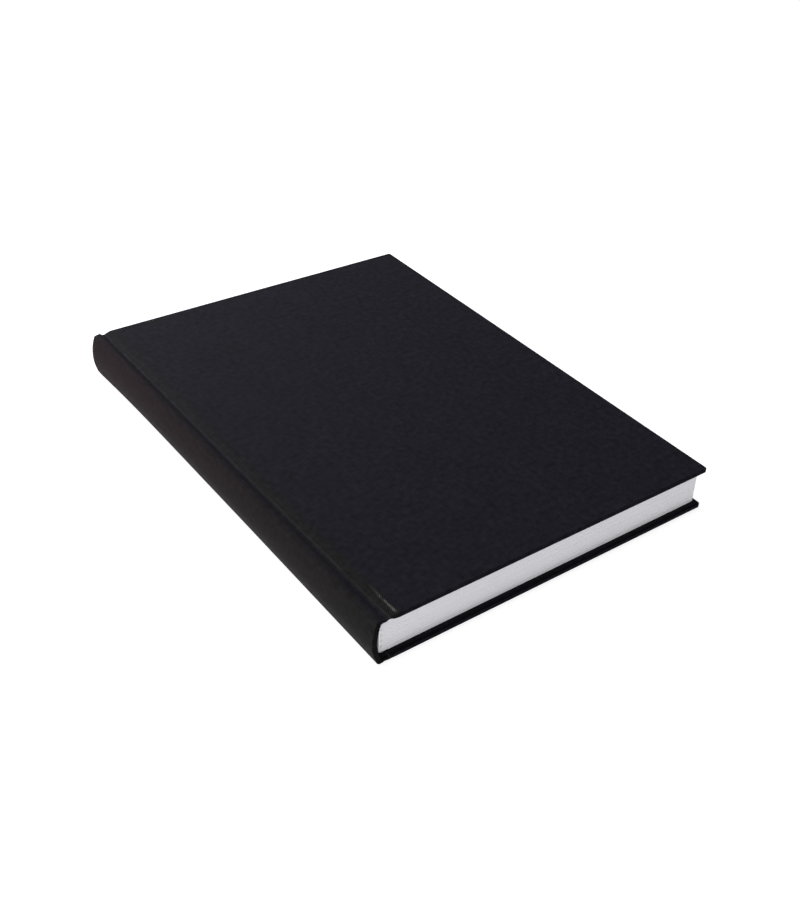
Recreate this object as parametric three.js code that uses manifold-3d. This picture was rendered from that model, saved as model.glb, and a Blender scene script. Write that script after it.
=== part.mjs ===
// A closed case-bound sketchbook, built the way a sewn hardback is built.
// Millimetres. +X runs from the spine to the fore-edge, +Y from the tail to the head, +Z up.
// The book lies on its back cover; the origin is the middle of the footprint, at its underside.
import * as THREE from 'three';
import * as BufferGeometryUtils from 'three/addons/utils/BufferGeometryUtils.js';
import Module from 'manifold-3d';

const wasm = await Module();
wasm.setup();

// ---------------------------------------------------------------- driving dimensions
// book: x is counted from a datum just inside the spine's outermost line, and shifted at the end
const THICK = 19.1;            // whole closed book, over both covers
const HEIGHT = 215.6;          // head to tail, over the cloth
const FORE = 155.4;            // fore-edge of the covers
const MID = THICK / 2;

const CLOTH = 0.3;             // book cloth with its glue
const FIT = 0.02;              // between pasted layers
const BOARD_TOP = THICK - CLOTH - FIT;      // outer face of the front board
const BOARD_LOW = 17.2;        // inner face of the front board and of the turn-ins
const PASTE = 0.13;            // pastedown paper
const COVER_LOW = 17.05;       // inner face of the whole front cover
const TURN_IN = 15;            // cloth folded over on to the inside of the board
const BOARD_NEAR = 8.15;       // spine-side edge of the boards
const CORNER_R = 1.5;          // plan radius at the fore corners
const ARRIS_R = 0.5;           // rounding of the cloth over the board's outer edges
const PASTE_MARGIN = 2.8;      // strip of turn-in left uncovered around the pastedown

// spine: a shallow arc
const SPINE_R = 26;            // outer face of the cloth
const SPINE_X = -0.8;          // outermost point of the spine
const SPINE_CX = SPINE_X + SPINE_R;
const PANEL_OUT = SPINE_R - CLOTH - FIT;
const PANEL_IN = PANEL_OUT - 1.48;
const PANEL_HALF = 9.18;       // half height of the spine inlay
const SHOULDER_HALF = 9.5;     // half height over the cloth of the shoulders
const SHOULDER_X = 2.85;       // where the spine cloth hands over to the groove cloth
const SHOULDER_R = 1.2;        // rounding of the shoulders

// text block
const LEAF_H = 210;            // height of a leaf
const FOLD_X = 4.3;            // back of the folds
const LEAF_FORE = 153.6;       // fore-edge of the leaves
const SECTIONS = 6;
const FOLIOS = 4;              // folded sheets in a section
const PITCH = 0.304;           // from one leaf to the next
const LEAF = 0.284;            // leaf thickness
const FLY = 0.15;              // flyleaf thickness
const BLOCK_LOW = THICK - COVER_LOW;        // inner face of the back cover
const SEC_H = 2 * FOLIOS * PITCH;           // height of one section
const SEC_GAP = (COVER_LOW - BLOCK_LOW - 2 * (FLY + 0.04) - SECTIONS * SEC_H) / (SECTIONS - 1);
const FOLD_STEPS = 10;

// back of the block
const GLUE_X = [3.71, 4.27];
const MULL_X = [3.48, 3.69];
const LINING_X = [3.3, 3.46];
const THREAD_R = 0.24;
const RUN_X = 4.45;            // thread runs, in the valleys between sections
const LINK_X = 4.0;            // link stitches, over the folds
const STATIONS = [-92, -56, -19, 19, 56, 92];

// ---------------------------------------------------------------- helpers
// extrudes a polygon given in (x, z) along Y, with triangulated caps and shared vertices
function prism(points, y0, y1) {
  const shape = points.map(([x, z]) => new THREE.Vector2(x, z));
  if (THREE.ShapeUtils.isClockWise(shape)) shape.reverse();
  const n = shape.length;
  const faces = THREE.ShapeUtils.triangulateShape(shape, []);
  const pos = [];
  for (const y of [y0, y1]) for (const p of shape) pos.push(p.x, y, p.y);
  const index = [];
  // seen from -Y, (x, z) counter-clockwise faces -Y
  for (const [a, b, c] of faces) {
    index.push(a, b, c);
    index.push(n + a, n + c, n + b);
  }
  for (let i = 0; i < n; i++) {
    const j = (i + 1) % n;
    index.push(i, n + i, n + j, i, n + j, j);
  }
  return geometryOf(pos, index);
}

function geometryOf(pos, index) {
  const g = new THREE.BufferGeometry();
  g.setAttribute('position', new THREE.Float32BufferAttribute(pos, 3));
  g.setIndex(index);
  return g;
}

function box(x0, x1, y0, y1, z0, z1) {
  return new THREE.BoxGeometry(x1 - x0, y1 - y0, z1 - z0)
    .translate((x0 + x1) / 2, (y0 + y1) / 2, (z0 + z1) / 2);
}

// a slab with rounded fore corners, lofted from outlines at several heights: [inset, z] from low to high
function slab(x0, x1, halfY, r, levels, steps = 5) {
  const rings = levels.map(([inset, z]) => {
    const ring = [[x0, -(halfY - inset)]];
    const rr = Math.max(r - inset, 0.2);
    for (let i = 0; i <= steps; i++) {
      const a = -Math.PI / 2 + (Math.PI / 2) * i / steps;
      ring.push([x1 - inset - rr + rr * Math.cos(a), -(halfY - inset - rr) + rr * Math.sin(a)]);
    }
    for (let i = 0; i <= steps; i++) {
      const a = (Math.PI / 2) * i / steps;
      ring.push([x1 - inset - rr + rr * Math.cos(a), (halfY - inset - rr) + rr * Math.sin(a)]);
    }
    ring.push([x0, halfY - inset]);
    return ring.map(([x, y]) => [x, y, z]);
  });
  const n = rings[0].length;
  const pos = rings.flat(2);
  const index = [];
  for (let k = 0; k + 1 < rings.length; k++)
    for (let i = 0; i < n; i++) {
      const j = (i + 1) % n, a = k * n + i, b = k * n + j, c = a + n, d = b + n;
      index.push(a, b, d, a, d, c);
    }
  for (let i = 1; i + 1 < n; i++) {
    index.push(0, i + 1, i);
    const t = (rings.length - 1) * n;
    index.push(t, t + i, t + i + 1);
  }
  return geometryOf(pos, index);
}

function solid(geometry) {
  let g = geometry.clone();
  g.deleteAttribute('normal');
  g.deleteAttribute('uv');
  g = BufferGeometryUtils.mergeVertices(g, 1e-4);
  return new wasm.Manifold(new wasm.Mesh({
    numProp: 3,
    vertProperties: Float32Array.from(g.attributes.position.array),
    triVerts: Uint32Array.from(g.index.array),
  }));
}

function fromSolid(s) {
  const m = s.getMesh();
  return geometryOf(Array.from(m.vertProperties), Array.from(m.triVerts));
}

const cut = (a, ...tools) => fromSolid(tools.reduce((s, t) => s.subtract(solid(t)), solid(a)));
const join = (a, ...more) => fromSolid(more.reduce((s, t) => s.add(solid(t)), solid(a)));

// reflects a geometry between the front and the back of the book
function flipped(geometry) {
  const g = geometry.clone();
  g.deleteAttribute('normal');
  const p = g.attributes.position;
  for (let i = 0; i < p.count; i++) p.setZ(i, THICK - p.getZ(i));
  const idx = g.index.array;
  for (let i = 0; i < idx.length; i += 3) [idx[i + 1], idx[i + 2]] = [idx[i + 2], idx[i + 1]];
  return g;
}

const group = new THREE.Group();
group.position.x = -(SPINE_X + FORE) / 2;

function add(name, geometry, color, roughness) {
  const mesh = new THREE.Mesh(geometry, new THREE.MeshStandardMaterial({ color, roughness, metalness: 0 }));
  mesh.name = name;
  geometry.computeVertexNormals();
  group.add(mesh);
  return mesh;
}

const BLACK_CLOTH = 0x24232a, GREYBOARD = 0x8b8377, WHITE = 0xecece8, ENDPAPER = 0xe4e3de;
const MULL = 0xd9d2bf, GLUE = 0xe9e6da, LINING = 0xe6e3da, LINEN = 0xe6dfcc;

// ---------------------------------------------------------------- covers
const halfH = HEIGHT / 2;
const inX = FORE - CLOTH - FIT, inY = halfH - CLOTH - FIT;      // envelope of the board
const winX = FORE - TURN_IN, winY = halfH - TURN_IN;            // window that the turn-ins leave

function arrisLevels(zLow, zHigh, r) {
  const levels = [];
  const low = 0.25;
  for (let i = 0; i <= 2; i++) {
    const a = (Math.PI / 2) * i / 2;
    levels.push([low * (1 - Math.sin(a)), zLow + low * (1 - Math.cos(a))]);
  }
  for (let i = 0; i <= 4; i++) {
    const a = (Math.PI / 2) * i / 4;
    levels.push([r * (1 - Math.cos(a)), zHigh - r + r * Math.sin(a)]);
  }
  return levels;
}

function coverCloth() {
  const outer = slab(BOARD_NEAR, FORE, halfH, CORNER_R, arrisLevels(BOARD_LOW, THICK, ARRIS_R));
  const pocket = slab(BOARD_NEAR - 2, inX + 0.01, inY + 0.01, CORNER_R - CLOTH,
    [[0, BOARD_LOW + CLOTH], [0, BOARD_TOP - 0.2], [0.2, BOARD_TOP + 0.01]], 3);
  const window = box(BOARD_NEAR - 2, winX, -winY, winY, BOARD_LOW - 1, BOARD_LOW + CLOTH + 0.1);
  // mitres of the turn-ins, at 45 degrees into the fore corners
  const mitres = [-1, 1].map((s) => {
    const len = TURN_IN * Math.SQRT2 - 2.4;
    const g = new THREE.BoxGeometry(len, 0.12, 2 * CLOTH);
    g.translate(len / 2 - 0.4, 0, 0);
    g.rotateZ(s * Math.PI / 4);
    g.translate(winX, s * winY, BOARD_LOW);
    return g;
  });
  return cut(outer, pocket, window, ...mitres);
}

// the board's inner face is pressed in under the turn-ins and under the mull
const MULL_FLAP = [BOARD_NEAR + 0.05, 33, 93];
function coverBoard() {
  const body = slab(BOARD_NEAR + 0.02, inX - 0.01, inY - 0.01, CORNER_R - CLOTH,
    [[0, BOARD_LOW + FIT], [0, BOARD_TOP - 0.2], [0.2, BOARD_TOP]], 3);
  const z0 = BOARD_LOW - 1, z1 = BOARD_LOW + CLOTH + FIT;
  const rims = [
    box(winX - 0.1, FORE + 1, -halfH - 1, halfH + 1, z0, z1),
    box(0, FORE + 1, winY - 0.1, halfH + 1, z0, z1),
    box(0, FORE + 1, -halfH - 1, -winY + 0.1, z0, z1),
  ];
  const mull = box(0, MULL_FLAP[1] + 0.1, -MULL_FLAP[2] + 0.7 - 0.1, MULL_FLAP[2] - 0.7 + 0.1, z0, BOARD_LOW + 0.22);
  return cut(body, ...rims, mull);
}

const pastedown = () => slab(BOARD_NEAR + 0.02, FORE - PASTE_MARGIN, halfH - PASTE_MARGIN, 0.6,
  [[0, COVER_LOW], [0, COVER_LOW + PASTE]], 2);
const mullFlap = () => box(BOARD_NEAR + 0.02, MULL_FLAP[1], -MULL_FLAP[2] + 0.7, MULL_FLAP[2] - 0.7, BOARD_LOW, BOARD_LOW + 0.2);

for (const side of ['front', 'back']) {
  const put = side === 'front' ? (g) => g : flipped;
  add(`${side}_board`, put(coverBoard()), GREYBOARD, 0.95);
  add(`${side}_cover_cloth`, put(coverCloth()), BLACK_CLOTH, 0.85);
  add(`${side}_pastedown`, put(pastedown()), ENDPAPER, 0.9);
  add(`${side}_mull_flap`, put(mullFlap()), MULL, 0.95);
}

// ---------------------------------------------------------------- spine of the case
// outline of a shallow arc-shaped strip, clipped at z = MID +- half
function arcBand(rOut, rIn, half, steps = 16, round = 0) {
  const pts = [];
  const arc = (r, z) => SPINE_CX - Math.sqrt(r * r - z * z);
  const top = half - round;
  for (let i = 0; i <= steps; i++) {
    const z = -top + 2 * top * i / steps;
    pts.push([arc(rOut, z), MID + z]);
  }
  if (round) {
    // quarter turn from the outer face to the flat top of the shoulder, and its mirror image
    const x0 = arc(rOut, top), corner = [];
    const x1 = x0 + round * 1.05;
    for (let i = 1; i <= 5; i++) {
      const a = (Math.PI / 2) * i / 5;
      corner.push([x1 - (x1 - x0) * Math.cos(a), MID + top + round * Math.sin(a)]);
    }
    pts.push(...corner);
    pts.push([arc(rIn, half), MID + half]);
    for (let i = 1; i < steps; i++) {
      const z = half - 2 * half * i / steps;
      pts.push([arc(rIn, z), MID + z]);
    }
    pts.push([arc(rIn, -half), MID - half]);
    pts.push(...corner.reverse().map(([x, z]) => [x, 2 * MID - z]));
  } else {
    for (let i = 0; i <= steps; i++) {
      const z = half - 2 * half * i / steps;
      pts.push([arc(rIn, z), MID + z]);
    }
  }
  return pts;
}

const panelRound = 0.9;
add('spine_panel', cut(prism(arcBand(PANEL_OUT, PANEL_IN, PANEL_HALF, 16, panelRound), -inY + 0.01, inY - 0.01),
  box(SHOULDER_X - 0.02, SHOULDER_X + 9, -halfH, halfH, -1, THICK + 1)), GREYBOARD, 0.95);
{
  const outer = solid(prism(arcBand(SPINE_R, PANEL_IN - CLOTH - FIT, SHOULDER_HALF, 16, SHOULDER_R), -halfH, halfH));
  const pocket = solid(prism(arcBand(PANEL_OUT + 0.01, PANEL_IN - 0.01, PANEL_HALF + 0.02, 16, panelRound), -inY, inY));
  // inside of the strip between the turned-in ends: bare of cloth
  const bare = solid(prism(arcBand(PANEL_IN + 0.02, PANEL_IN - 3, SHOULDER_HALF + 1, 16), -winY, winY));
  const trim = solid(box(SHOULDER_X, SHOULDER_X + 9, -halfH - 1, halfH + 1, -1, THICK + 1));
  add('spine_cloth', fromSolid(outer.subtract(pocket).subtract(bare).subtract(trim)), BLACK_CLOTH, 0.85);
}

// groove strips: from the shoulder, down into the groove and up over the edge of the board
const GROOVE = [
  [SHOULDER_X + 0.02, 19.05], [3.3, 18.92], [3.72, 18.6], [4.08, 18.22], [4.45, 17.98], [4.9, 17.9],
  [5.4, 17.95], [6.0, 18.12], [6.6, 18.36], [7.15, 18.64], [7.65, 18.9], [BOARD_NEAR - 0.02, 19.05],
];
function grooveStrip(t) {
  const low = [];
  for (let i = 0; i < GROOVE.length; i++) {
    const a = GROOVE[Math.max(i - 1, 0)], b = GROOVE[Math.min(i + 1, GROOVE.length - 1)];
    const dx = b[0] - a[0], dz = b[1] - a[1], l = Math.hypot(dx, dz);
    let x = GROOVE[i][0] + t * dz / l, z = GROOVE[i][1] - t * dx / l;
    x = Math.min(Math.max(x, SHOULDER_X + 0.02), BOARD_NEAR - 0.02);
    low.push([x, z]);
  }
  return [...GROOVE, ...low.reverse()];
}
for (const side of ['front', 'back']) {
  const put = side === 'front' ? (g) => g : flipped;
  add(`${side}_groove_cloth`, put(prism(grooveStrip(CLOTH), -halfH, halfH)), BLACK_CLOTH, 0.85);
  add(`${side}_endpaper_hinge`, put(prism([[FOLD_X + 0.05, COVER_LOW], [BOARD_NEAR - 0.02, COVER_LOW],
    [BOARD_NEAR - 0.02, COVER_LOW + PASTE], [FOLD_X + 0.05, COVER_LOW + PASTE]], -LEAF_H / 2, LEAF_H / 2)), ENDPAPER, 0.9);
}

// ---------------------------------------------------------------- text block
// one folio: two leaves joined by a half-round fold; k = 0 is the outermost sheet of its section
function folio(k, zMid) {
  const rOut = (FOLIOS - k) * PITCH - (PITCH - LEAF) / 2, rIn = rOut - LEAF;
  const cx = FOLD_X + FOLIOS * PITCH;
  const pts = [[LEAF_FORE, zMid - rOut]];
  pts.push([LEAF_FORE, zMid - rIn]);
  for (let i = 0; i <= FOLD_STEPS; i++) {
    const a = -Math.PI / 2 - Math.PI * i / FOLD_STEPS;
    pts.push([cx + rIn * Math.cos(a), zMid + rIn * Math.sin(a)]);
  }
  pts.push([LEAF_FORE, zMid + rIn], [LEAF_FORE, zMid + rOut]);
  for (let i = 0; i <= FOLD_STEPS; i++) {
    const a = Math.PI / 2 + Math.PI * i / FOLD_STEPS;
    pts.push([cx + rOut * Math.cos(a), zMid + rOut * Math.sin(a)]);
  }
  return prism(pts, -LEAF_H / 2, LEAF_H / 2);
}
// section 1 is the first one under the front cover
const secTop = (s) => COVER_LOW - FLY - 0.04 - (s - 1) * (SEC_H + SEC_GAP);
for (let s = 1; s <= SECTIONS; s++)
  for (let k = 0; k < FOLIOS; k++)
    add(`section_${s}_folio_${k + 1}`, folio(k, secTop(s) - SEC_H / 2), WHITE, 0.92);

const flyleaf = () => box(FOLD_X + 0.02, LEAF_FORE, -LEAF_H / 2, LEAF_H / 2, COVER_LOW - 0.02 - FLY, COVER_LOW - 0.02);
add('front_flyleaf', flyleaf(), ENDPAPER, 0.9);
add('back_flyleaf', flipped(flyleaf()), ENDPAPER, 0.9);

// ---------------------------------------------------------------- thread, glue, mull and lining on the back
// thread: one run in each valley between two sections, and link stitches over the folds at each station
function thread(grow, openRight) {
  const r = THREAD_R + grow;
  const valleys = [];
  for (let s = 2; s <= SECTIONS; s++) valleys.push(secTop(s) + SEC_GAP / 2);
  const end = STATIONS[STATIONS.length - 1];
  const parts = [];
  for (const z of valleys) {
    const g = new THREE.CylinderGeometry(r, r, 2 * (end + 0.6 + grow), 8);
    g.rotateY(Math.PI / 8);
    g.translate(RUN_X, 0, z);
    parts.push(g);
    if (openRight) parts.push(box(RUN_X, RUN_X + 1, -end - 0.6 - grow, end + 0.6 + grow, z - r, z + r));
  }
  const z0 = valleys[valleys.length - 1], z1 = valleys[0];
  for (const y of STATIONS) {
    parts.push(box(LINK_X - 0.2 - grow, LINK_X + (openRight ? 1 : 0.2), y - 0.3 - grow, y + 0.3 + grow, z0 - 0.3 - grow, z1 + 0.3 + grow));
    for (const z of valleys) parts.push(box(LINK_X, RUN_X, y - 0.28 - grow, y + 0.28 + grow, z - 0.2 - grow, z + 0.2 + grow));
  }
  return parts;
}
add('sewing_thread', join(...thread(0, false)), LINEN, 0.8);
const backLow = secTop(SECTIONS) - SEC_H, backHigh = secTop(1);
add('spine_glue', cut(box(GLUE_X[0], GLUE_X[1], -LEAF_H / 2, LEAF_H / 2, backLow, backHigh), ...thread(0.03, true)), GLUE, 0.5);
add('spine_mull', box(MULL_X[0], MULL_X[1], -92.3, 92.3, BLOCK_LOW + 0.05, COVER_LOW - 0.05), MULL, 0.95);
add('spine_lining_paper', box(LINING_X[0], LINING_X[1], -104.6, 104.6, BLOCK_LOW + 0.4, COVER_LOW - 0.4), LINING, 0.9);

export default group;
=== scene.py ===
import bpy, bmesh, math, random
import numpy as np
from mathutils import Matrix, Vector


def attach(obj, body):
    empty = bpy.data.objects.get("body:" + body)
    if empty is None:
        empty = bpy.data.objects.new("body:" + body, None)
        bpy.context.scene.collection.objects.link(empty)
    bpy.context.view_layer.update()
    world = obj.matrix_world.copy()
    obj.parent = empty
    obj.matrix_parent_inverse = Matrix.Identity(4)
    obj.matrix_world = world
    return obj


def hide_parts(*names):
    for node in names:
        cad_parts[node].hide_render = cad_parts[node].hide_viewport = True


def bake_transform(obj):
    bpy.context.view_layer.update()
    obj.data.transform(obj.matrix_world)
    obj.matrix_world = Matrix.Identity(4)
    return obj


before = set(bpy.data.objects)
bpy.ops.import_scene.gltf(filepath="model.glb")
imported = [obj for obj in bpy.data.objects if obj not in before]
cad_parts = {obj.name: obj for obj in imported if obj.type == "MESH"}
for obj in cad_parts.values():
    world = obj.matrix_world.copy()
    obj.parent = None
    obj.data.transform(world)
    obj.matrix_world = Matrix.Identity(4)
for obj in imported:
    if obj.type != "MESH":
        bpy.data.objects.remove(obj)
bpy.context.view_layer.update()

random.seed(7)
rng = np.random.default_rng(11)
MM = 0.001

# ------------------------------------------------------------------ sizes, in mm, as in the CAD source
THICK, HEIGHT, FORE = 19.1, 215.6, 155.4
MID, HALF = THICK / 2, HEIGHT / 2
SPINE_R, SPINE_X = 26.0, -0.8
OX = -(SPINE_X + FORE) / 2            # datum x to frame x
BOARD_NEAR, BOARD_LOW, COVER_LOW = 8.15, 17.2, 17.05
LEAF_H, FOLD_X, LEAF_FORE = 210.0, 4.3, 153.6
FOLIOS, PITCH, LEAF, FLY, SECTIONS = 4, 0.304, 0.284, 0.15, 6
SEC_H = 2 * FOLIOS * PITCH
SEC_GAP = (COVER_LOW - (THICK - COVER_LOW) - 2 * (FLY + 0.04) - SECTIONS * SEC_H) / (SECTIONS - 1)
HINGE_X = 4.1


def sec_top(s):
    return COVER_LOW - FLY - 0.04 - (s - 1) * (SEC_H + SEC_GAP)


def smooth(t):
    t = np.clip(t, 0, 1)
    return t * t * (3 - 2 * t)


# ------------------------------------------------------------------ meshes
def make(name, verts, faces, flat=None, shade=True):
    """verts in mm in the datum frame; flat is an optional per-vertex (u, v, w) in mm for the weave."""
    me = bpy.data.meshes.new(name)
    v = np.asarray(verts, float).copy()
    v[:, 0] += OX
    me.from_pydata((v * MM).tolist(), [], faces)
    if flat is not None:
        a = me.attributes.new("flat_mm", "FLOAT_VECTOR", "POINT")
        a.data.foreach_set("vector", np.asarray(flat, np.float32).ravel())
    me.validate()
    me.update()
    ob = bpy.data.objects.new(name, me)
    bpy.context.collection.objects.link(ob)
    if shade:
        for p in me.polygons:
            p.use_smooth = True
    return ob


def outward(ob):
    bm = bmesh.new()
    bm.from_mesh(ob.data)
    bmesh.ops.recalc_face_normals(bm, faces=bm.faces)
    bm.to_mesh(ob.data)
    bm.free()


def apply_modifiers(ob):
    dg = bpy.context.evaluated_depsgraph_get()
    me = bpy.data.meshes.new_from_object(ob.evaluated_get(dg), preserve_all_data_layers=True, depsgraph=dg)
    old = ob.data
    ob.modifiers.clear()
    ob.data = me
    bpy.data.meshes.remove(old)


# ------------------------------------------------------------------ node helpers
def new_material(name):
    m = bpy.data.materials.new(name)
    m.use_nodes = True
    nt = m.node_tree
    nt.nodes.clear()
    out = nt.nodes.new("ShaderNodeOutputMaterial")
    b = nt.nodes.new("ShaderNodeBsdfPrincipled")
    nt.links.new(b.outputs[0], out.inputs["Surface"])
    return m, nt, b


class N:
    """Short forms for building node trees."""

    def __init__(self, nt):
        self.nt = nt

    def node(self, kind, **props):
        n = self.nt.nodes.new(kind)
        for k, v in props.items():
            setattr(n, k, v)
        return n

    def link(self, a, b):
        self.nt.links.new(a, b)

    def put(self, socket, value):
        if hasattr(value, "is_output"):
            self.link(value, socket)
        else:
            socket.default_value = value

    def math(self, op, a, b=None, c=None, clamp=False):
        n = self.node("ShaderNodeMath", operation=op, use_clamp=clamp)
        self.put(n.inputs[0], a)
        if b is not None:
            self.put(n.inputs[1], b)
        if c is not None:
            self.put(n.inputs[2], c)
        return n.outputs[0]

    def ramp(self, value, lo, hi, out_lo=0.0, out_hi=1.0, kind="SMOOTHSTEP"):
        n = self.node("ShaderNodeMapRange", interpolation_type=kind)
        self.put(n.inputs[0], value)
        for i, x in enumerate((lo, hi, out_lo, out_hi)):
            self.put(n.inputs[i + 1], x)
        return n.outputs[0]

    def noise(self, vec, scale, detail=3.0, rough=0.55, dist=0.0):
        n = self.node("ShaderNodeTexNoise")
        self.put(n.inputs["Vector"], vec)
        n.inputs["Scale"].default_value = scale
        n.inputs["Detail"].default_value = detail
        n.inputs["Roughness"].default_value = rough
        n.inputs["Distortion"].default_value = dist
        return n.outputs["Fac"]

    def scale(self, vec, s):
        n = self.node("ShaderNodeVectorMath", operation="MULTIPLY")
        self.link(vec, n.inputs[0])
        n.inputs[1].default_value = s
        return n.outputs[0]

    def mix(self, f, a, b):
        n = self.node("ShaderNodeMix", data_type="RGBA")
        self.put(n.inputs[0], f)
        for i, x in ((6, a), (7, b)):
            self.put(n.inputs[i], x if hasattr(x, "is_output") else (*x, 1.0))
        return n.outputs[2]

    def split(self, vec):
        n = self.node("ShaderNodeSeparateXYZ")
        self.link(vec, n.inputs[0])
        return n.outputs

    def join(self, x, y, z=0.0):
        n = self.node("ShaderNodeCombineXYZ")
        for i, v in enumerate((x, y, z)):
            self.put(n.inputs[i], v)
        return n.outputs[0]

    def bump(self, height, distance, strength=1.0, normal=None):
        n = self.node("ShaderNodeBump")
        n.inputs["Strength"].default_value = strength
        n.inputs["Distance"].default_value = distance
        self.link(height, n.inputs["Height"])
        if normal is not None:
            self.link(normal, n.inputs["Normal"])
        return n.outputs[0]


# ------------------------------------------------------------------ section through the cover
ARRIS = 0.32          # rounding of the cloth over the board's edges
LOW_R = 0.3
CORNER = 0.95         # plan radius at the fore corners
CX = SPINE_X + SPINE_R


def spline(points, n):
    """Catmull-Rom through 2-D points, n samples on each span."""
    p = np.array(points, float)
    p = np.vstack([2 * p[0] - p[1], p, 2 * p[-1] - p[-2]])
    out = []
    for i in range(1, len(p) - 2):
        for t in np.linspace(0, 1, n, endpoint=False):
            a, b, c, d = p[i - 1], p[i], p[i + 1], p[i + 2]
            out.append(0.5 * ((2 * b) + (c - a) * t + (2 * a - 5 * b + 4 * c - d) * t * t + (3 * b - a - 3 * c + d) * t ** 3))
    out.append(p[-2])
    return np.array(out)


def arc(r, z):
    return CX - math.sqrt(r * r - z * z)


def cross_section():
    """Outer and inner points (x, z), in pairs, from the middle of the spine to the fore-edge strip."""
    outer, inner = [], []
    for zz in np.linspace(0, 8.2, 22):
        outer.append((arc(SPINE_R, zz), MID + zz))
        zi = zz * 0.93
        inner.append((arc(SPINE_R - 2.12, zi), MID + zi))
    # shoulder, groove and the near edge of the board, in pairs
    ctrl = [
        (outer[-1], inner[-1]),
        ((0.66, 18.22), (2.3, 17.2)), ((0.95, 18.68), (2.45, 17.36)), ((1.42, 18.98), (2.62, 17.49)), ((1.95, 19.06), (2.82, 17.6)),
        ((2.5, 19.05), (3.05, 17.67)), ((2.95, 18.98), (3.32, 17.69)), ((3.35, 18.78), (3.6, 17.64)), ((3.75, 18.46), (3.9, 17.54)),
        ((4.15, 18.1), (4.25, 17.42)), ((4.55, 17.86), (4.6, 17.33)), ((5.0, 17.79), (5.0, 17.27)), ((5.4, 17.87), (5.4, 17.27)),
        ((5.8, 18.06), (5.8, 17.3)), ((6.3, 18.28), (6.3, 17.32)), ((6.9, 18.52), (6.9, 17.32)), ((7.5, 18.76), (7.5, 17.28)),
        ((8.0, 18.94), (8.0, 17.23)), ((8.5, 19.04), (8.5, 17.2)), ((9.1, 19.08), (9.1, 17.2)), ((10.2, 19.1), (10.2, 17.2)),
    ]
    so = spline([c[0] for c in ctrl], 3)[1:]
    si = spline([c[1] for c in ctrl], 3)[1:]
    outer += [tuple(p) for p in so]
    inner += [tuple(p) for p in si]
    for x in (11.8, 14, 18, 24, 32, 42, 54, 66, 78, 90, 102, 114, 126, 136, 143, 148, 151, FORE - 2.4, FORE - CORNER):
        outer.append((x, 19.1))
        inner.append((x, 17.2))
    return np.array(outer), np.array(inner)


OUTER, INNER = cross_section()
NS = len(OUTER)
_d = OUTER[1:] - OUTER[:-1]
ARC = np.concatenate([[0], np.cumsum(np.hypot(_d[:, 0], _d[:, 1]))])     # mm along the cloth
X_END = FORE - CORNER


def u_at(x):
    """mm along the cloth, at the place x on the front."""
    return float(np.interp(x, OUTER[30:, 0], ARC[30:]))


# places along the cloth, in mm from the middle of the spine
GROOVE_U = (u_at(3.1), u_at(8.0))
CREASE_U = u_at(5.55)
RUB_GLINT_U = u_at(8.72)                # a rubbed streak over the near edge of the front board, at the tail: part wear, part painted highlight of threads catching the light
RUB_GLINT_V = (-106.4, -91.5)


# ------------------------------------------------------------------ book cloth
WEAVE = 0.46          # mm from one thread to the next


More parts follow.
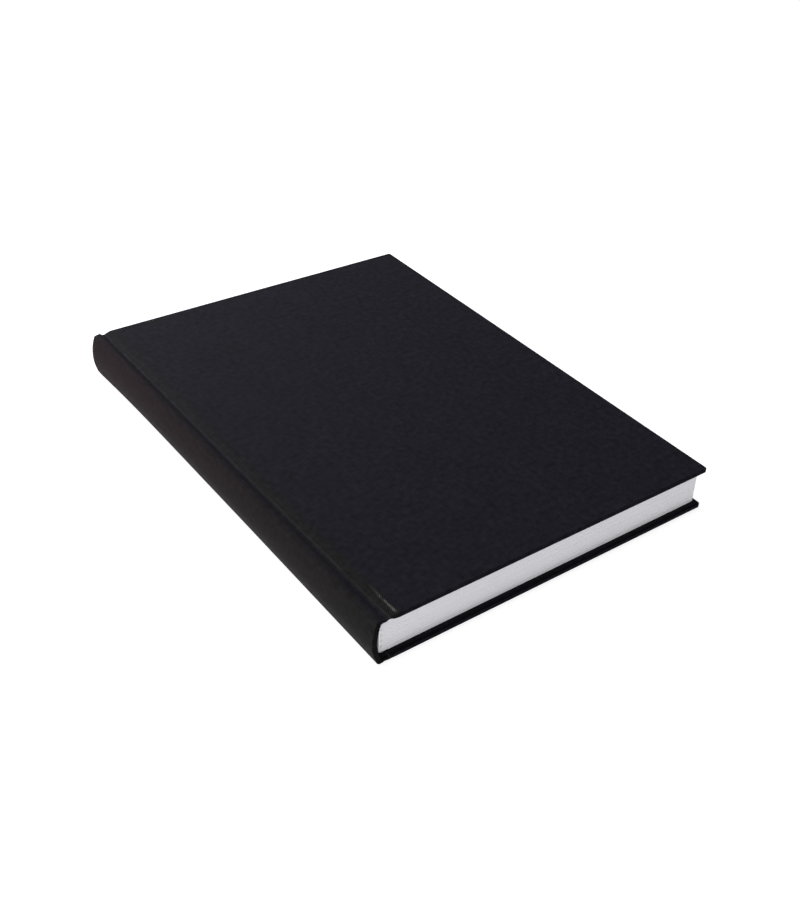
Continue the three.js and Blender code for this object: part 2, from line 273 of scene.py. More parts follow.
def book_cloth():
    m, nt, b = new_material("book_cloth")
    k = N(nt)
    at = k.node("ShaderNodeAttribute", attribute_name="flat_mm")
    flat = at.outputs["Vector"]                       # mm along the cloth: across, up the book, wear
    u, v, wear = k.split(flat)
    edge = k.node("ShaderNodeAttribute", attribute_name="edge").outputs["Fac"]
    edge_shade_and_dull = k.math("MAXIMUM", k.math("MULTIPLY_ADD", edge, -0.63, 1.0), 0.25)     # darker and less shiny on the boards' edges: painted shade on the end faces, with less specular
    # threads wander a little and vary in thickness
    wob = k.node("ShaderNodeTexNoise")
    k.put(wob.inputs["Vector"], flat)
    wob.inputs["Scale"].default_value = 0.22
    wob.inputs["Detail"].default_value = 2.0
    wc = k.split(wob.outputs["Color"])
    uu = k.math("ADD", u, k.math("MULTIPLY", k.math("SUBTRACT", wc[0], 0.5), 0.5))
    vv = k.math("ADD", v, k.math("MULTIPLY", k.math("SUBTRACT", wc[1], 0.5), 0.5))
    a = k.math("DIVIDE", uu, WEAVE)
    c = k.math("DIVIDE", vv, WEAVE)
    fa, fc = k.math("FRACT", a), k.math("FRACT", c)
    ra = k.math("POWER", k.math("SINE", k.math("MULTIPLY", fa, math.pi)), 0.6)
    rc = k.math("POWER", k.math("SINE", k.math("MULTIPLY", fc, math.pi)), 0.6)
    over_a = k.math("COSINE", k.math("MULTIPLY", k.math("ADD", c, k.math("FLOOR", a)), math.pi))
    over_c = k.math("COSINE", k.math("MULTIPLY", k.math("ADD", a, k.math("FLOOR", c)), math.pi))
    warp = k.math("MULTIPLY", ra, k.math("MULTIPLY_ADD", over_a, 0.42, 0.58))
    weft = k.math("MULTIPLY", rc, k.math("MULTIPLY_ADD", over_c, -0.42, 0.58))
    weave = k.math("MAXIMUM", warp, weft)
    # slubs: long thin variations along each thread direction
    s1 = k.noise(k.join(k.math("MULTIPLY", uu, 2.2), k.math("MULTIPLY", vv, 0.10)), 1.0, 2.0)
    s2 = k.noise(k.join(k.math("MULTIPLY", uu, 0.10), k.math("MULTIPLY", vv, 2.2)), 1.0, 2.0)
    slub = k.math("ADD", s1, s2)
    fibre = k.noise(flat, 9.0, 4.0, 0.7)
    blot = k.noise(flat, 0.055, 4.0, 0.6)
    mott = k.noise(flat, 0.42, 3.0, 0.45)
    # colour: near black, cool on the boards, with threads a little lighter than the gaps
    base = k.mix(k.ramp(blot, 0.3, 0.7), (0.0090, 0.0082, 0.0135), (0.0103, 0.0095, 0.0153))
    # the cloth of the spine has browned a little towards the head
    spine = k.mix(k.ramp(v, -95.0, 95.0, 0.0, 1.0, "LINEAR"), (0.0077, 0.0068, 0.0072), (0.0101, 0.0044, 0.0061))
    base = k.mix(k.ramp(k.math("ABSOLUTE", u), 8.0, 13.5, 1.0, 0.0), base, spine)
    # painted shade: the cloth is darker in the groove, but for the crease itself
    au = k.math("ABSOLUTE", u)
    groove_shade = k.math("MULTIPLY", k.ramp(au, GROOVE_U[0], GROOVE_U[0] + 0.9), k.ramp(au, GROOVE_U[1] - 1.6, GROOVE_U[1], 1.0, 0.0))
    base = k.mix(k.math("MULTIPLY", groove_shade, 0.04), base, (0.0030, 0.0034, 0.0036))
    # dust has greyed the blue of the cloth beside the crease
    dusty = k.math("MULTIPLY", k.ramp(au, CREASE_U - 0.6, CREASE_U + 0.6), k.ramp(au, CREASE_U + 2.5, CREASE_U + 6.5, 1.0, 0.0))
    base = k.mix(k.math("MULTIPLY", dusty, k.ramp(v, -90.0, 100.0, 0.95, 0.5)), base, (0.0092, 0.0092, 0.0094))
    lift = k.math("MULTIPLY_ADD", k.math("SUBTRACT", weave, 0.55), 0.65, 1.0)
    lift = k.math("MULTIPLY", lift, k.math("MULTIPLY_ADD", k.math("SUBTRACT", slub, 1.0), 0.95, 1.0))
    lift = k.math("MULTIPLY", lift, k.math("MULTIPLY_ADD", k.math("SUBTRACT", mott, 0.5), 1.45, 1.0))
    # painted shade: the colour is darkened on the end faces of the boards
    lift = k.math("MULTIPLY", lift, edge_shade_and_dull)
    col = k.node("ShaderNodeVectorMath", operation="SCALE")
    k.link(base, col.inputs[0])
    k.link(lift, col.inputs["Scale"])
    # wear: fibres rubbed grey where the cloth is bent over the boards, from the third attribute channel
    patch = k.ramp(k.math("ADD", k.math("MULTIPLY", fibre, 0.6), k.math("MULTIPLY", mott, 0.6)), 0.45, 0.85)
    rub = k.math("MULTIPLY", k.math("MULTIPLY", wear, patch), 0.12, clamp=True)
    # one rubbed streak over the near edge of the front board, at the tail: part wear, part painted highlight of
    # threads catching the light
    across = k.math("SUBTRACT", u, RUB_GLINT_U)
    drift = k.math("MULTIPLY", k.math("SUBTRACT", wc[2], 0.5), 1.4)
    band = k.ramp(k.math("ABSOLUTE", k.math("ADD", across, drift)), 0.12, 0.80, 1.0, 0.0)
    along = k.math("MULTIPLY", k.ramp(v, RUB_GLINT_V[0] - 0.6, RUB_GLINT_V[0] + 0.8), k.ramp(v, RUB_GLINT_V[0] + 1.5, RUB_GLINT_V[1], 1.0, 0.12))
    along = k.math("MULTIPLY", along, k.ramp(v, RUB_GLINT_V[1] - 1.0, RUB_GLINT_V[1] + 1.5, 1.0, 0.0))
    gap = k.ramp(k.math("ABSOLUTE", k.math("SUBTRACT", v, RUB_GLINT_V[0] + 7.4)), 0.3, 1.1, 0.35, 1.0)
    along = k.math("MULTIPLY", k.math("MULTIPLY", along, gap), k.ramp(k.noise(k.join(3.0, k.math("MULTIPLY", v, 0.9)), 1.0, 3.0), 0.3, 0.6, 0.5, 1.1))
    threads = k.ramp(k.math("ADD", weave, k.math("MULTIPLY", k.math("SUBTRACT", fibre, 0.5), 1.6)), 0.35, 1.0, 0.22, 1.0)
    rub_glint_streak = k.math("MULTIPLY", k.math("MULTIPLY", band, along), threads, clamp=True)
    # painted highlight: a light line along the crease, where the board-side slope of the groove catches the light
    off = k.math("SUBTRACT", k.math("SUBTRACT", au, CREASE_U), k.ramp(v, -107.0, 85.0, 0.52, 0.0, "LINEAR"))
    crease = k.ramp(k.math("ABSOLUTE", k.math("ADD", off, k.math("MULTIPLY", k.math("SUBTRACT", wc[1], 0.5), 0.5))), 0.12, 0.42, 1.0, 0.0)
    crease = k.math("MULTIPLY", crease, k.ramp(k.noise(k.join(0.0, k.math("MULTIPLY", v, 0.09)), 1.0, 3.0), 0.35, 0.6, 0.25, 1.0))
    colour = k.mix(rub, col.outputs[0], (0.045, 0.044, 0.048))
    # the painted highlight of the crease
    colour = k.mix(k.math("MULTIPLY", crease, 0.34), colour, (0.040, 0.042, 0.044))
    # the rubbed streak: part wear, part painted highlight
    colour = k.mix(rub_glint_streak, colour, (0.150, 0.150, 0.142))
    k.link(colour, b.inputs["Base Color"])
    rough = k.math("MULTIPLY_ADD", k.math("SUBTRACT", mott, 0.5), 0.16, 0.78)
    k.link(rough, b.inputs["Roughness"])
    k.link(k.math("MULTIPLY", k.math("MULTIPLY_ADD", k.math("SUBTRACT", mott, 0.5), 0.8, 1.0), k.math("MULTIPLY", edge_shade_and_dull, 0.065)), b.inputs["Specular IOR Level"])
    b.inputs["Sheen Weight"].default_value = 0.008
    b.inputs["Sheen Roughness"].default_value = 0.4
    h = k.math("ADD", weave, k.math("MULTIPLY", k.math("SUBTRACT", fibre, 0.5), 0.35))
    h = k.math("ADD", h, k.math("MULTIPLY", slub, 0.35))
    n1 = k.bump(h, 0.00007, 1.0)
    n2 = k.bump(mott, 0.00012, 0.5, n1)
    k.link(n2, b.inputs["Normal"])
    return m


# ------------------------------------------------------------------ papers and the hidden materials
def paper(name, colour, tooth, tooth_mm, speck=0.0):
    m, nt, b = new_material(name)
    k = N(nt)
    co = k.node("ShaderNodeTexCoord").outputs["Object"]
    mm = k.scale(co, (1000, 1000, 1000))
    grain = k.noise(mm, 1.0 / tooth_mm, 5.0, 0.62, 0.25)
    fine = k.noise(mm, 6.0, 3.0, 0.6)
    blot = k.noise(mm, 0.03, 3.0, 0.5)
    info = k.node("ShaderNodeObjectInfo").outputs["Random"]
    cut = k.node("ShaderNodeAttribute", attribute_name="cut_edge").outputs["Fac"]
    tone = k.math("MULTIPLY_ADD", k.math("SUBTRACT", blot, 0.5), 0.05, 1.0)
    tone = k.math("MULTIPLY", tone, k.math("MULTIPLY_ADD", k.math("SUBTRACT", grain, 0.5), 0.05, 1.0))
    tone = k.math("MULTIPLY", tone, k.math("MULTIPLY_ADD", k.math("SUBTRACT", info, 0.5), 0.03, 1.0))
    # painted shade: the cut edges of the leaves get a darker grey than their faces, for the shade on the block's cut
    # faces and in the gaps between leaves
    sc = k.node("ShaderNodeVectorMath", operation="SCALE")
    k.link(k.mix(cut, colour, (0.605, 0.602, 0.638)), sc.inputs[0])
    k.link(tone, sc.inputs["Scale"])
    k.link(sc.outputs[0], b.inputs["Base Color"])
    k.link(k.ramp(fine, 0.3, 0.7, 0.86, 0.95), b.inputs["Roughness"])
    b.inputs["Specular IOR Level"].default_value = 0.25
    h = k.math("ADD", grain, k.math("MULTIPLY", fine, 0.15))
    k.link(k.bump(h, tooth * MM, 1.0), b.inputs["Normal"])
    return m


def fibrous(name, colour, dark, scale, rough, bump, weave=None):
    m, nt, b = new_material(name)
    k = N(nt)
    co = k.node("ShaderNodeTexCoord").outputs["Object"]
    mm = k.scale(co, (1000, 1000, 1000))
    n = k.noise(mm, scale, 5.0, 0.65)
    f = k.ramp(n, 0.3, 0.7)
    if weave:
        x, y, z = k.split(mm)
        wy = k.math("ABSOLUTE", k.math("SINE", k.math("MULTIPLY", y, math.pi / weave)))
        wz = k.math("ABSOLUTE", k.math("SINE", k.math("MULTIPLY", k.math("ADD", z, x), math.pi / weave)))
        f = k.math("MULTIPLY", f, k.math("MAXIMUM", wy, wz))
    k.link(k.mix(f, dark, colour), b.inputs["Base Color"])
    k.link(k.ramp(n, 0.3, 0.7, rough - 0.08, rough), b.inputs["Roughness"])
    k.link(k.bump(f, bump * MM, 1.0), b.inputs["Normal"])
    return m


MAT = {
    "book_cloth": book_cloth(),
    "watercolour_paper": paper("watercolour_paper", (0.83, 0.835, 0.845), 0.06, 0.9),
    "endpaper": paper("endpaper", (0.80, 0.80, 0.795), 0.02, 0.5),
    "greyboard": fibrous("greyboard", (0.30, 0.28, 0.245), (0.17, 0.155, 0.13), 2.5, 0.95, 0.05),
    "mull": fibrous("mull", (0.74, 0.69, 0.57), (0.36, 0.32, 0.24), 3.0, 0.95, 0.10, weave=1.1),
    "thread": fibrous("thread", (0.80, 0.75, 0.63), (0.50, 0.45, 0.35), 7.0, 0.75, 0.05),
    "glue": fibrous("glue", (0.74, 0.735, 0.745), (0.69, 0.685, 0.69), 0.8, 0.45, 0.03),
    "lining_paper": fibrous("lining_paper", (0.72, 0.715, 0.735), (0.67, 0.665, 0.68), 4.0, 0.9, 0.02),
}


def paint(ob, name):
    ob.data.materials.clear()
    ob.data.materials.append(MAT[name])


# ------------------------------------------------------------------ the sheets of the cover
def column(i, y, front):
    """Outer and inner points of column i at the height y up the book: the run of the groove and the ends are not quite even."""
    (xo, zo), (xi, zi) = OUTER[i], INNER[i]
    x0 = xo
    tail, head = max(y + HALF, 0), max(HALF - y, 0)
    # the groove dies out towards the tail, and less towards the head
    g = math.exp(-((x0 - 5.2) / 1.9) ** 2)
    lift_t = math.exp(-(tail / 5.0) ** 1.5)
    lift_h = math.exp(-(head / 4.0) ** 1.5)
    zo += g * ((0.68 if front else 1.12) * lift_t + 0.16 * lift_h)
    zo = min(zo, THICK)
    gi = math.exp(-((xi - 5.7) / 1.3) ** 2)
    zi += gi * ((0.95 if front else 0.1) * lift_t + 0.2 * lift_h)
    # the board lies a little askew to the spine
    dx = -0.38 * math.exp(-((x0 - 8.0) / 2.2) ** 2) * (y / HALF)
    xo, xi = xo + dx, xi + dx * (1 if i < NS - 20 else 0)
    # the spine is a little fuller at the head
    if x0 < 2.6:
        w = 1 - float(smooth((x0 - 0.4) / 2.2))
        b = -0.22 * math.exp(-(head / 16.0) ** 1.4) * w
        xo, xi = xo + b, xi + b
        # and its upper shoulder is pressed a little lower there
        if front:
            zo -= 0.30 * math.exp(-(head / 9.0) ** 1.5) * float(smooth((zo - MID - 4.5) / 4.5))
    # the lower shoulder is tucked in under the weight of the book, except at the head
    if not front and x0 < 3.4:
        w = float(smooth((zo - MID - 0.5) / 8.4)) * (1 - float(smooth((x0 - 1.3) / 2.1)))
        t = 0.92 * (1 - 0.9 * math.exp(-(head / 26.0) ** 1.5)) * (1 - 0.24 * min(max((-y - 20) / 88, 0), 1)) * w
        xo, xi = xo + t, xi + 0.55 * t
    # faint unevenness of the boards
    if x0 > 8:
        zo += 0.03 * math.sin(x0 * 0.045 + 1.1) * math.sin(y * 0.032 + 0.4) - 0.03
    return xo, zo, xi, zi


def cover_sheet(name, front=True):
    """One half of the cloth of the cover, from the middle of the spine to the turn-ins inside the board."""
    thick = np.hypot(*(OUTER - INNER).T)
    ys = [-HALF + ARRIS, -HALF + 0.8, -HALF + CORNER, -HALF + 2.4, -HALF + 4, -HALF + 6.5, -HALF + 10, -HALF + 15, -HALF + 21]
    ys += list(np.linspace(-HALF + 28, HALF - 28, 25))
    ys += [-y for y in ys[:9]][::-1]
    ys = np.array(ys)
    ny = len(ys)
    steps = 6
    verts, flat, faces, edges = [], [], [], []

    def add(x, y, z, u, v, wear, edge=0.0):
        verts.append((x, y, z if front else THICK - z))
        flat.append((u if front else -u, v, wear))
        edges.append(edge)
        return len(verts) - 1

    def ridge(x, z):
        """Share of rubbed cloth on the shoulder and over the near edge of the board."""
        return max(0.18 * math.exp(-((x - 8.7) / 0.5) ** 2), 0.30 * math.exp(-((x - 1.3) / 0.45) ** 2) * (z > 17))

    # outer face: columns from the middle of the spine to X_END, rows ys
    grid = np.empty((NS, ny), int)
    for i in range(NS):
        r = min(ARRIS, 0.45 * thick[i])
        for j, y in enumerate(ys):
            yy = y
            if j in (0, ny - 1):
                yy = math.copysign(HALF - r, y)
            xo, zo, xi, zi = column(i, yy, front)
            e = 0.5 * max(0.0, 1 - (HALF - abs(yy)) / 1.3)
            grid[i, j] = add(xo, yy, zo, ARC[i], yy, max(ridge(OUTER[i][0], zo), e))
    for i in range(NS - 1):
        for j in range(ny - 1):
            faces.append((grid[i, j], grid[i + 1, j], grid[i + 1, j + 1], grid[i, j + 1]))
    # strip along the fore-edge, up to its arris
    top = lambda x, y: column(NS - 1, y, front)[1]
    xe = FORE - ARRIS
    rows = [j for j in range(ny) if abs(ys[j]) <= HALF - CORNER + 1e-6]
    strip = {j: add(xe, ys[j], top(xe, ys[j]), ARC[-1] + (xe - X_END), ys[j], 0.4) for j in rows}
    for a, b in zip(rows[:-1], rows[1:]):
        faces.append((grid[NS - 1, a], strip[a], strip[b], grid[NS - 1, b]))
    # corners of the outer face
    rc, cyn = CORNER - ARRIS, HALF - CORNER
    angles = [(math.pi / 2) * q / steps for q in range(1, steps)]
    c_lo = [add(X_END + rc * math.sin(t), -(cyn + rc * math.cos(t)), top(0, -HALF), ARC[-1] + rc * math.sin(t), -(cyn + rc * math.cos(t)), 0.8) for t in angles]
    c_hi = [add(X_END + rc * math.sin(t), cyn + rc * math.cos(t), top(0, HALF), ARC[-1] + rc * math.sin(t), cyn + rc * math.cos(t), 0.8) for t in angles]
    jl, jh = rows[0], rows[-1]
    centre = grid[NS - 1, jl]
    seq = [grid[NS - 1, 0]] + c_lo + [strip[jl]]
    between = [grid[NS - 1, j] for j in range(1, jl)]
    faces.append(tuple([centre] + between[::-1] + [seq[0], seq[1]]))
    for a, b in zip(seq[1:-1], seq[2:]):
        faces.append((centre, a, b))
    centre = grid[NS - 1, jh]
    seq = [strip[jh]] + c_hi[::-1] + [grid[NS - 1, ny - 1]]
    between = [grid[NS - 1, j] for j in range(jh + 1, ny - 1)]
    for a, b in zip(seq[:-2], seq[1:-1]):
        faces.append((centre, a, b))
    faces.append(tuple([centre, seq[-2], seq[-1]] + between[::-1]))

    # the edge, ring by ring, from the arris of the outer face to the end of the turn-in
    profile = []
    for q in range(1, 6):
        t = (math.pi / 2) * q / 5
        profile.append(("top", 1 - math.sin(t), 1 - math.cos(t)))
    for q in range(0, 4):
        t = (math.pi / 2) * q / 3
        profile.append(("low", 1 - math.cos(t), 1 - math.sin(t)))
    for d in (0.9, 1.7, 2.4, 3.1, 4.5, 7.0, 10.5, 15.0):
        profile.append(("in", d, 0.0))
    prev = [grid[i, 0] for i in range(NS)] + c_lo + [strip[j] for j in rows] + c_hi[::-1] + [grid[i, ny - 1] for i in range(NS)][::-1]
    for kind, a, b in profile:
        def level(h):
            r, r2 = min(ARRIS, 0.45 * h), min(LOW_R, 0.4 * h)
            if kind == "top":
                return r * a, r * b / h
            if kind == "low":
                return r2 * a, 1 - r2 * b / h
            return a, 1.0

        def run(h):
            if kind == "top":
                return ARRIS * (b + 1 - a) * 0.8
            return ARRIS * 1.2 + h * 0.8 if kind == "low" else ARRIS * 1.2 + h + a

        if kind == "top":
            wear = 0.9 if b < 0.9 else 0.55
        else:
            wear = 0.35 if kind == "low" and a < 0.5 else 0.05
        # share of painted shade and lost shine on the end faces and turn-ins
        edge = b ** 0.6 if kind == "top" else 1.2 - 0.2 * b if kind == "low" else max(0.3, 1 - 0.25 * a)
        # the square outside the pastedown stands a cloth's thickness proud
        drop = 0.13 * (1.0 if kind == "low" and b < 0.95 or kind == "in" and a < 2.2 else 0.5 if kind == "in" and a < 2.8 else 0.0)
        inset, f = level(1.9)
        rr = max(CORNER - inset, 0.03)
        ccx, ccy = FORE - inset - rr, HALF - inset - rr

        def side(i, sign):
            h = thick[i]
            ins, ff = level(h)
            y = sign * (HALF - ins)
            xo, zo, xi, zi = column(i, y, front)
            x, z = xo + (xi - xo) * ff, zo + (zi - zo) * ff
            if xo > 12:
                x = 12 + (x - 12) * (ccx - 12) / (X_END - 12) if kind != "top" else x
            z -= drop * float(smooth((OUTER[i][0] - 8.3) / 1.5)) * (ff > 0.9)
            return add(x, y, z, ARC[i], sign * (HALF + run(h)), wear, edge)

        def corner(t, sign):
            z = top(0, sign * HALF)
            z += (17.2 - z) * f - drop
            return add(ccx + rr * math.sin(t), sign * (ccy + rr * math.cos(t)), z, ARC[-1] + (CORNER + run(1.9)) * math.sin(t),
                       sign * (cyn + (CORNER + run(1.9)) * math.cos(t)), min(1.0, wear * 1.3), edge)

        ring = [side(i, -1) for i in range(NS - 1)]
        ring += [corner((math.pi / 2) * q / steps, -1) for q in range(steps + 1)]
        for j in rows[1:-1]:
            y = ys[j] * ccy / cyn
            z = top(0, y)
            ring.append(add(FORE - inset, y, z + (17.2 - z) * f - drop, ARC[-1] + CORNER + run(1.9), y, wear, edge))
        ring += [corner((math.pi / 2) * q / steps, 1) for q in range(steps, -1, -1)]
        ring += [side(i, 1) for i in range(NS - 1)][::-1]
        assert len(ring) == len(prev), (len(ring), len(prev))
        for q in range(len(ring) - 1):
            faces.append((prev[q], ring[q], ring[q + 1], prev[q + 1]))
        prev = ring
    ob = make(name, np.array(verts), faces, np.array(flat))
    ob.data.attributes.new("edge", "FLOAT", "POINT").data.foreach_set("value", np.array(edges, np.float32))
    outward(ob)
    return ob


def finish_cloth(ob, front):
    """Gives the sheet its thickness, inwards."""
    me = ob.data
    # the outer face must look away from the board
    best = max(me.polygons, key=lambda p: p.area)
    want = 1 if front else -1
    if best.normal.z * want < 0:
        me.flip_normals()
    m = ob.modifiers.new("t", "SOLIDIFY")
    m.thickness = 0.3 * MM
    m.offset = -1.0
    m.use_even_offset = True
    m.thickness_clamp = 0.0
    apply_modifiers(ob)
    for p in ob.data.polygons:
        p.use_smooth = True
    # the two halves meet along the middle of the spine: no shading across that rim
    co = [v.co.z for v in ob.data.vertices]
    for e in ob.data.edges:
        if all(abs(co[i] - MID * MM) < 0.00001 for i in e.vertices):
            e.use_edge_sharp = True
    return ob


for side in ("front", "back"):
    ob = cover_sheet(f"{side}_cover_cloth_sheet", side == "front")
    finish_cloth(ob, side == "front")
    paint(ob, "book_cloth")
    if side == "front":
        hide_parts("front_cover_cloth", "front_groove_cloth", "spine_cloth")
    else:
        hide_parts("back_cover_cloth", "back_groove_cloth")
    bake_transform(ob)


# ------------------------------------------------------------------ stiff strip inside the spine
def spine_card(name):
    n = max(i for i in range(NS) if OUTER[i][0] < 1.5 and i < 60)
    ys = np.linspace(-HALF + 0.45, HALF - 0.45, 33)
    cols = [(i, False) for i in range(n, 0, -1)] + [(i, True) for i in range(0, n + 1)]
    verts, faces = [], []
    for f in (0.17, 0.82):
        for i, front in cols:
            for y in ys:
                xo, zo, xi, zi = column(i, float(y), front)
                x, z = xo + (xi - xo) * f, zo + (zi - zo) * f
                verts.append((x, y, z if front else THICK - z))
    nc, ny = len(cols), len(ys)
    idx = lambda l, i, j: l * nc * ny + i * ny + j
    for i in range(nc - 1):
        for j in range(ny - 1):
            faces.append((idx(0, i, j), idx(0, i + 1, j), idx(0, i + 1, j + 1), idx(0, i, j + 1)))
            faces.append((idx(1, i, j), idx(1, i, j + 1), idx(1, i + 1, j + 1), idx(1, i + 1, j)))
        for j in (0, ny - 1):
            faces.append((idx(0, i, j), idx(0, i + 1, j), idx(1, i + 1, j), idx(1, i, j)))
    for j in range(ny - 1):
        for i in (0, nc - 1):
            faces.append((idx(0, i, j), idx(0, i, j + 1), idx(1, i, j + 1), idx(1, i, j)))
    ob = make(name, np.array(verts), faces)
    outward(ob)
    return ob


card = spine_card("spine_card")
paint(card, "greyboard")
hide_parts("spine_panel")
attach(card, "text_block")

# ------------------------------------------------------------------ endpapers
def slab_sheet(name, xs, ys, zf, t, flip=False):
    """A thin sheet: zf(x, y) is its lower face; closed all round."""
    nx, ny = len(xs), len(ys)
    verts, faces = [], []
    for layer in (0, 1):
        for x in xs:
            for y in ys:
                verts.append((x, y, zf(x, y) + layer * t))
    idx = lambda l, i, j: l * nx * ny + i * ny + j
    for i in range(nx - 1):
        for j in range(ny - 1):
            faces.append((idx(0, i, j), idx(0, i, j + 1), idx(0, i + 1, j + 1), idx(0, i + 1, j)))
            faces.append((idx(1, i, j), idx(1, i + 1, j), idx(1, i + 1, j + 1), idx(1, i, j + 1)))
    for i in range(nx - 1):
        faces.append((idx(0, i, 0), idx(0, i + 1, 0), idx(1, i + 1, 0), idx(1, i, 0)))
        faces.append((idx(0, i + 1, ny - 1), idx(0, i, ny - 1), idx(1, i, ny - 1), idx(1, i + 1, ny - 1)))
    for j in range(ny - 1):
        faces.append((idx(0, 0, j + 1), idx(0, 0, j), idx(1, 0, j), idx(1, 0, j + 1)))
        faces.append((idx(0, nx - 1, j), idx(0, nx - 1, j + 1), idx(1, nx - 1, j + 1), idx(1, nx - 1, j)))
    v = np.array(verts)
    if flip:
        v[:, 2] = THICK - v[:, 2]
    ob = make(name, v, faces, shade=False)
    outward(ob)
    return ob


near = list(np.arange(4.4, 12.0, 0.4))
for side in ("front", "back"):
    flip = side == "back"
    # pasted half and the strip over the hinge, in one sheet
    wx = FORE - 15.0
    wy = HALF - 15.0
    xs = near + [14, 20, 30, 33, 33.6, 45, 60, 80, 100, 120, 132, wx - 1, wx - 0.4, wx + 0.4, wx + 1, 146, 151, FORE - 2.8]
    yy = [-HALF + 2.8, -HALF + 6, -wy - 1, -wy - 0.4, -wy + 0.4, -wy + 1] + list(np.linspace(-84, 84, 13)) + [wy - 1, wy - 0.4, wy + 0.4, wy + 1, HALF - 6, HALF - 2.8]

    def dent(x, y):
        """The pastedown sinks a little where the cloth under it ends."""
        a = 1 - smooth((x - (wx - 0.6)) / 1.2)
        b = 1 - smooth((abs(y) - (wy - 0.6)) / 1.2)
        z = COVER_LOW + 0.018 * float(a * b)
        if x < 8.3:
            t = max(y + HALF - 2.8, 0)
            arch = 0.25 + (0.75 if side == "back" else 0.55) * math.exp(-(t / 6.0) ** 1.5)
            z += arch * math.sin(math.pi * (x - 4.4) / 3.9) ** 2
        return z

    ob = slab_sheet(f"{side}_endpaper_pasted", xs, yy, dent, 0.125, flip)
    paint(ob, "endpaper")
    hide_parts(f"{side}_pastedown", f"{side}_endpaper_hinge")
    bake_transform(ob)
    # free half
    xs = near + [14, 18, 24, 32, 44, 58, 74, 90, 106, 122, 136, 146, LEAF_FORE]
    yy = np.linspace(-LEAF_H / 2, LEAF_H / 2, 15)
    ob = slab_sheet(f"{side}_endpaper_free", xs, yy, lambda x, y: COVER_LOW - 0.02 - FLY, FLY, flip)
    paint(ob, "endpaper")
    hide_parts(f"{side}_flyleaf")
    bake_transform(ob)


# ------------------------------------------------------------------ folded sheets of the sections
def fold(a, n=3.0):
    """A fold pressed squarer than a half circle."""
    c, q = math.cos(a), math.sin(a)
    r = (abs(c) ** n + abs(q) ** n) ** (-1 / n)
    return c * r, q * r


def folio(name, s, kf):
    """Two leaves and their fold. Each leaf is a hair uneven, so the block shows fine lines between leaves."""
    z_mid = sec_top(s) - SEC_H / 2
    r_out = (FOLIOS - kf) * PITCH - (PITCH - LEAF) / 2
    r_in = r_out - LEAF
    cx = FOLD_X + FOLIOS * PITCH
    xs = list(np.arange(cx + 0.4, 16.0, 0.7)) + [18, 21, 25, 30, 38, 48, 60, 74, 88, 102, 116, 128, 138, 146, 151]
    ys = np.array([-LEAF_H / 2, -LEAF_H / 2 + 0.25] + list(np.linspace(-LEAF_H / 2 + 8, LEAF_H / 2 - 8, 11)) + [LEAF_H / 2 - 0.25, LEAF_H / 2])
    cut = rng.normal(0, 0.022, 4)
    fore = [LEAF_FORE + min(cut[0], 0.06), LEAF_FORE + min(cut[1], 0.06)]
    trim = [min(cut[2], 0.05), min(cut[3], 0.05)]
    path = []                                   # (x, z of outer, x, z of inner) along the sheet
    for x in [fore[0]] + xs[::-1]:
        path.append((x, z_mid - r_out, x, z_mid - r_in))
    for i in range(13):
        a = -math.pi / 2 - math.pi * i / 12
        ca, sa = fold(a)
        path.append((cx + r_out * ca, z_mid + r_out * sa, cx + r_in * ca, z_mid + r_in * sa))
    for x in xs + [fore[1]]:
        path.append((x, z_mid + r_out, x, z_mid + r_in))
    npth, ny = len(path), len(ys)
    verts, faces = [], []
    for layer in (0, 1):
        for p in path:
            for y in ys:
                yy = y + (trim[0] if y < 0 else -trim[1]) * (abs(y) > LEAF_H / 2 - 0.5)
                # the cut edges are slightly rounded
                zz = p[1] if layer == 0 else p[3]
                mid = (p[1] + p[3]) / 2
                if abs(y) > LEAF_H / 2 - 0.1:
                    zz = mid + (zz - mid) * 0.9
                verts.append((p[0] if layer == 0 else p[2], yy, zz))
    idx = lambda l, i, j: l * npth * ny + i * ny + j
    cut_faces = []
    for i in range(npth - 1):
        for j in range(ny - 1):
            faces.append((idx(0, i, j), idx(0, i + 1, j), idx(0, i + 1, j + 1), idx(0, i, j + 1)))
            faces.append((idx(1, i, j), idx(1, i, j + 1), idx(1, i + 1, j + 1), idx(1, i + 1, j)))
        for j in (0, ny - 1):
            cut_faces.append(len(faces))
            faces.append((idx(0, i, j), idx(0, i + 1, j), idx(1, i + 1, j), idx(1, i, j)))
    for j in range(ny - 1):
        cut_faces += [len(faces), len(faces) + 1]
        faces.append((idx(0, 0, j), idx(0, 0, j + 1), idx(1, 0, j + 1), idx(1, 0, j)))
        faces.append((idx(0, npth - 1, j), idx(0, npth - 1, j + 1), idx(1, npth - 1, j + 1), idx(1, npth - 1, j)))
    ob = make(name, np.array(verts), faces, shade=False)
    mark = np.zeros(len(ob.data.polygons), np.float32)
    mark[cut_faces] = 1.0
    ob.data.attributes.new("cut_edge", "FLOAT", "FACE").data.foreach_set("value", mark)
    outward(ob)
    paint(ob, "watercolour_paper")
    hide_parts(f"section_{s}_folio_{kf + 1}")
    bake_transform(ob)
    return ob


for s in range(1, SECTIONS + 1):
    for kf in range(FOLIOS):
        folio(f"section_{s}_sheet_{kf + 1}", s, kf)

# ------------------------------------------------------------------ carried-over CAD nodes
for node, slot_name in (
    ("front_board", "greyboard"), ("back_board", "greyboard"),
    ("front_mull_flap", "mull"), ("back_mull_flap", "mull"), ("spine_mull", "mull"),
    ("sewing_thread", "thread"), ("spine_glue", "glue"), ("spine_lining_paper", "lining_paper"),
):
    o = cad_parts[node]
    if o.data.materials:
        for i in range(len(o.data.materials)):
            o.data.materials[i] = MAT[slot_name]
    else:
        o.data.materials.append(MAT[slot_name])

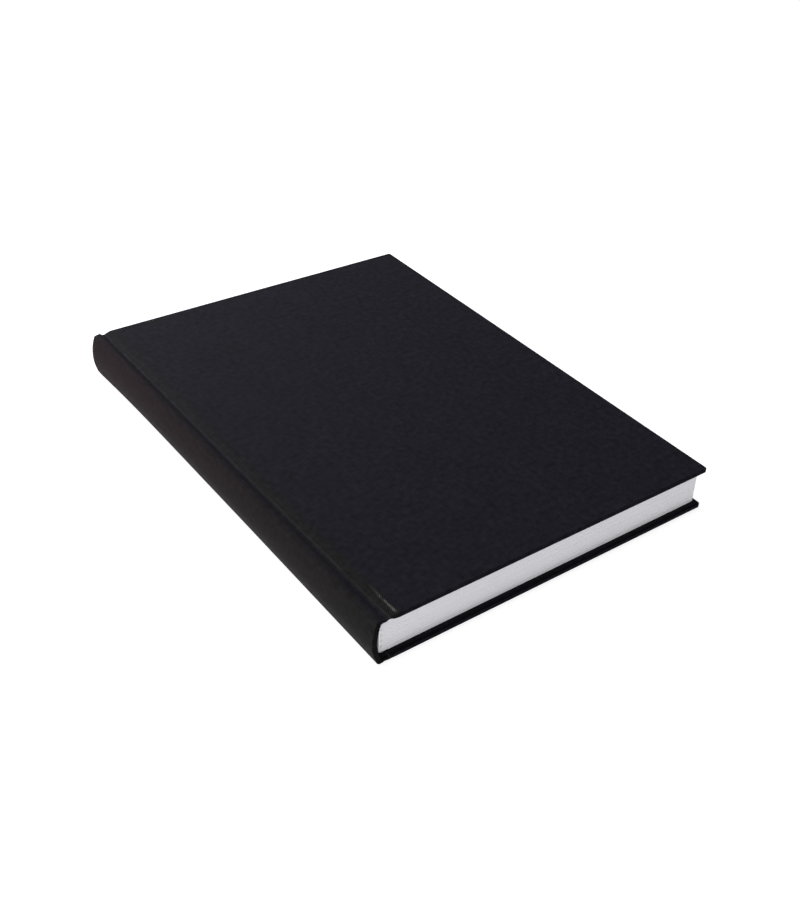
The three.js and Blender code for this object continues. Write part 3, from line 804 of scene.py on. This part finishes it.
for side in ("front", "back"):
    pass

# ------------------------------------------------------------------ floor, light, camera
fl = bpy.data.meshes.new("floor")
fl.from_pydata([(-14, -14, 0), (14, -14, 0), (14, 14, 0), (-14, 14, 0)], [], [(0, 1, 2, 3)])
floor = bpy.data.objects.new("floor", fl)
floor.location = (0, 0, -0.00005)
bpy.context.collection.objects.link(floor)
fm, fnt, fb = new_material("floor_paint")
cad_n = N(fnt)
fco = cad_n.node("ShaderNodeTexCoord").outputs["Object"]
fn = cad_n.noise(fco, 3.0, 2.0)
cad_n.link(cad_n.mix(fn, (0.63, 0.63, 0.635), (0.66, 0.66, 0.66)), fb.inputs["Base Color"])
fb.inputs["Roughness"].default_value = 1.0
fb.inputs["Emission Color"].default_value = (1, 1, 1, 1)
fb.inputs["Emission Strength"].default_value = 0.70
fb.inputs["Specular IOR Level"].default_value = 0.0
fl.materials.append(fm)

world = bpy.data.worlds.new("studio")
bpy.context.scene.world = world
world.use_nodes = True
bg = world.node_tree.nodes["Background"]
bg.inputs[0].default_value = (1.0, 1.0, 1.0, 1.0)
bg.inputs[1].default_value = 0.36


def area(name, loc, size, power, target=(0, 0, 0), colour=(1, 1, 1)):
    l = bpy.data.lights.new(name, "AREA")
    l.shape = "DISK"
    l.size = size
    l.energy = power
    l.color = colour
    o = bpy.data.objects.new(name, l)
    o.location = loc
    o.rotation_euler = (Vector(target) - Vector(loc)).to_track_quat("-Z", "Y").to_euler()
    bpy.context.collection.objects.link(o)
    return o


area("key", (-0.25, 0.85, 0.45), 0.8, 10.9)
area("fill", (-0.6, -0.9, 0.35), 0.8, 5.2)

cam = bpy.data.cameras.new("camera")
cam_ob = bpy.data.objects.new("camera", cam)
bpy.context.collection.objects.link(cam_ob)
right = Vector((0.787628, -0.612887, 0.063343))
up = Vector((0.302254, 0.47391, 0.827074))
back = Vector((-0.536922, -0.632281, 0.558512))
m = Matrix((
    (right.x, up.x, back.x, -0.244039),
    (right.y, up.y, back.y, -0.343336),
    (right.z, up.z, back.z, 0.292708),
    (0, 0, 0, 1)))
cam_ob.matrix_world = m
cam.sensor_width = 36.0
cam.sensor_fit = "AUTO"
cam.lens = 1225.9 * 36.0 / 914.0
cam.shift_x = -0.076553
cam.shift_y = -0.036872
cam.clip_start = 0.01
bpy.context.scene.camera = cam_ob
bpy.context.scene.view_settings.view_transform = "Standard"
